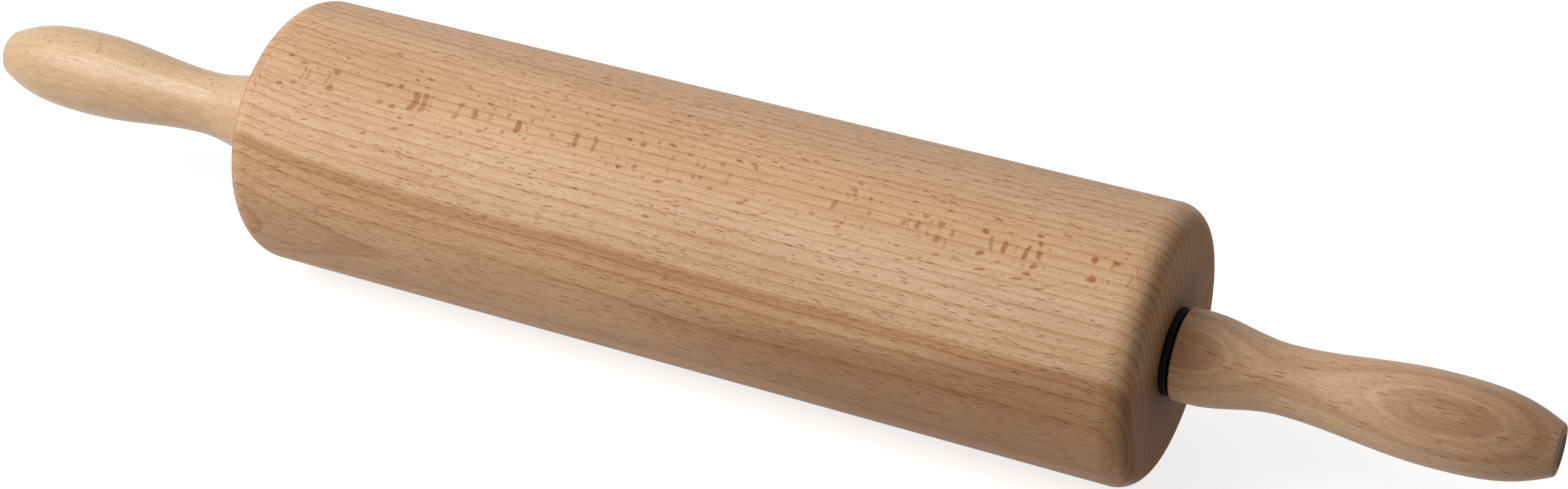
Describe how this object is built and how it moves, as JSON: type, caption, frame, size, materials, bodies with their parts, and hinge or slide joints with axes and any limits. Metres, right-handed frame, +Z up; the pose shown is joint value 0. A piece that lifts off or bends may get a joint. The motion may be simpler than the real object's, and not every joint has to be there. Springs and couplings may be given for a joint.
{
  "type": "rolling pin",
  "caption": "Turned beech rolling pin: a wide roller with rounded ends spins on ball bearings around a steel axle, with a waisted wooden handle fixed at each end.",
  "frame": {"origin": "on the worktop plane, under the middle of the roller's length", "axes": "+X along the pin's axle towards the right handle, +Y away from the viewer of the picture, +Z up"},
  "size_m": [0.438, 0.071, 0.0709],
  "materials": {
    "roller_wood": "sanded beech with a low oil sheen, end grain darker",
    "handle_left_wood": "sanded pale beech with a low oil sheen",
    "handle_right_wood": "sanded browner beech with a low oil sheen",
    "black_nylon": "black moulded nylon, satin",
    "axle_steel": "turned steel, bare",
    "bearing_steel": "ground and polished bearing steel with a film of grease",
    "cage_brass": "machined brass",
    "fastener_steel": "zinc-plated steel"
  },
  "bodies": {
    "handles_and_axle": {"axle": "axle_steel", "handle_left": "handle_left_wood", "end_plug_left": "black_nylon", "handle_screw_left": "fastener_steel", "screw_washer_left": "fastener_steel", "spacer_sleeve_left": "axle_steel", "inner_race_left": "bearing_steel", "handle_right": "handle_right_wood", "end_plug_right": "black_nylon", "handle_screw_right": "fastener_steel", "screw_washer_right": "fastener_steel", "spacer_sleeve_right": "axle_steel", "inner_race_right": "bearing_steel"},
    "roller": {"roller": "roller_wood", "bearing_cup_left": "black_nylon", "outer_race_left": "bearing_steel", "bearing_cup_right": "black_nylon", "outer_race_right": "bearing_steel"},
    "cage_left": {"ball_cage_left": "cage_brass"},
    "cage_right": {"ball_cage_right": "cage_brass"},
    "ball_left_1": {"ball_left_1": "bearing_steel"},
    "ball_left_2": {"ball_left_2": "bearing_steel"},
    "ball_left_3": {"ball_left_3": "bearing_steel"},
    "ball_left_4": {"ball_left_4": "bearing_steel"},
    "ball_left_5": {"ball_left_5": "bearing_steel"},
    "ball_left_6": {"ball_left_6": "bearing_steel"},
    "ball_left_7": {"ball_left_7": "bearing_steel"},
    "ball_left_8": {"ball_left_8": "bearing_steel"},
    "ball_right_1": {"ball_right_1": "bearing_steel"},
    "ball_right_2": {"ball_right_2": "bearing_steel"},
    "ball_right_3": {"ball_right_3": "bearing_steel"},
    "ball_right_4": {"ball_right_4": "bearing_steel"},
    "ball_right_5": {"ball_right_5": "bearing_steel"},
    "ball_right_6": {"ball_right_6": "bearing_steel"},
    "ball_right_7": {"ball_right_7": "bearing_steel"},
    "ball_right_8": {"ball_right_8": "bearing_steel"}
  },
  "joints": [
    {"name": "roller_spin", "type": "hinge", "parent": "handles_and_axle", "child": "roller", "pos_m": [0, 0, 0.03545], "axis": [1, 0, 0], "continuous": true},
    {"name": "cage_left_spin", "type": "hinge", "parent": "handles_and_axle", "child": "cage_left", "pos_m": [-0.1215, 0, 0.03545], "axis": [1, 0, 0], "continuous": true},
    {"name": "ball_left_1_spin", "type": "hinge", "parent": "cage_left", "child": "ball_left_1", "pos_m": [-0.1215, -0.006, 0.03545], "axis": [1, 0, 0], "continuous": true},
    {"name": "ball_left_2_spin", "type": "hinge", "parent": "cage_left", "child": "ball_left_2", "pos_m": [-0.1215, -0.00424, 0.03969], "axis": [1, 0, 0], "continuous": true},
    {"name": "ball_left_3_spin", "type": "hinge", "parent": "cage_left", "child": "ball_left_3", "pos_m": [-0.1215, 0, 0.04145], "axis": [1, 0, 0], "continuous": true},
    {"name": "ball_left_4_spin", "type": "hinge", "parent": "cage_left", "child": "ball_left_4", "pos_m": [-0.1215, 0.00424, 0.03969], "axis": [1, 0, 0], "continuous": true},
    {"name": "ball_left_5_spin", "type": "hinge", "parent": "cage_left", "child": "ball_left_5", "pos_m": [-0.1215, 0.006, 0.03545], "axis": [1, 0, 0], "continuous": true},
    {"name": "ball_left_6_spin", "type": "hinge", "parent": "cage_left", "child": "ball_left_6", "pos_m": [-0.1215, 0.00424, 0.03121], "axis": [1, 0, 0], "continuous": true},
    {"name": "ball_left_7_spin", "type": "hinge", "parent": "cage_left", "child": "ball_left_7", "pos_m": [-0.1215, 0, 0.02945], "axis": [1, 0, 0], "continuous": true},
    {"name": "ball_left_8_spin", "type": "hinge", "parent": "cage_left", "child": "ball_left_8", "pos_m": [-0.1215, -0.00424, 0.03121], "axis": [1, 0, 0], "continuous": true},
    {"name": "cage_right_spin", "type": "hinge", "parent": "handles_and_axle", "child": "cage_right", "pos_m": [0.1215, 0, 0.03545], "axis": [1, 0, 0], "continuous": true},
    {"name": "ball_right_1_spin", "type": "hinge", "parent": "cage_right", "child": "ball_right_1", "pos_m": [0.1215, 0.006, 0.03545], "axis": [1, 0, 0], "continuous": true},
    {"name": "ball_right_2_spin", "type": "hinge", "parent": "cage_right", "child": "ball_right_2", "pos_m": [0.1215, 0.00424, 0.03969], "axis": [1, 0, 0], "continuous": true},
    {"name": "ball_right_3_spin", "type": "hinge", "parent": "cage_right", "child": "ball_right_3", "pos_m": [0.1215, 0, 0.04145], "axis": [1, 0, 0], "continuous": true},
    {"name": "ball_right_4_spin", "type": "hinge", "parent": "cage_right", "child": "ball_right_4", "pos_m": [0.1215, -0.00424, 0.03969], "axis": [1, 0, 0], "continuous": true},
    {"name": "ball_right_5_spin", "type": "hinge", "parent": "cage_right", "child": "ball_right_5", "pos_m": [0.1215, -0.006, 0.03545], "axis": [1, 0, 0], "continuous": true},
    {"name": "ball_right_6_spin", "type": "hinge", "parent": "cage_right", "child": "ball_right_6", "pos_m": [0.1215, -0.00424, 0.03121], "axis": [1, 0, 0], "continuous": true},
    {"name": "ball_right_7_spin", "type": "hinge", "parent": "cage_right", "child": "ball_right_7", "pos_m": [0.1215, 0, 0.02945], "axis": [1, 0, 0], "continuous": true},
    {"name": "ball_right_8_spin", "type": "hinge", "parent": "cage_right", "child": "ball_right_8", "pos_m": [0.1215, 0.00424, 0.03121], "axis": [1, 0, 0], "continuous": true}
  ],
  "couplings": [
    {"joint": "cage_left_spin", "follows": "roller_spin", "ratio": 0.60417},
    {"joint": "ball_left_1_spin", "follows": "roller_spin", "ratio": 2.2958},
    {"joint": "ball_left_2_spin", "follows": "roller_spin", "ratio": 2.2958},
    {"joint": "ball_left_3_spin", "follows": "roller_spin", "ratio": 2.2958},
    {"joint": "ball_left_4_spin", "follows": "roller_spin", "ratio": 2.2958},
    {"joint": "ball_left_5_spin", "follows": "roller_spin", "ratio": 2.2958},
    {"joint": "ball_left_6_spin", "follows": "roller_spin", "ratio": 2.2958},
    {"joint": "ball_left_7_spin", "follows": "roller_spin", "ratio": 2.2958},
    {"joint": "ball_left_8_spin", "follows": "roller_spin", "ratio": 2.2958},
    {"joint": "cage_right_spin", "follows": "roller_spin", "ratio": 0.60417},
    {"joint": "ball_right_1_spin", "follows": "roller_spin", "ratio": 2.2958},
    {"joint": "ball_right_2_spin", "follows": "roller_spin", "ratio": 2.2958},
    {"joint": "ball_right_3_spin", "follows": "roller_spin", "ratio": 2.2958},
    {"joint": "ball_right_4_spin", "follows": "roller_spin", "ratio": 2.2958},
    {"joint": "ball_right_5_spin", "follows": "roller_spin", "ratio": 2.2958},
    {"joint": "ball_right_6_spin", "follows": "roller_spin", "ratio": 2.2958},
    {"joint": "ball_right_7_spin", "follows": "roller_spin", "ratio": 2.2958},
    {"joint": "ball_right_8_spin", "follows": "roller_spin", "ratio": 2.2958}
  ]
}
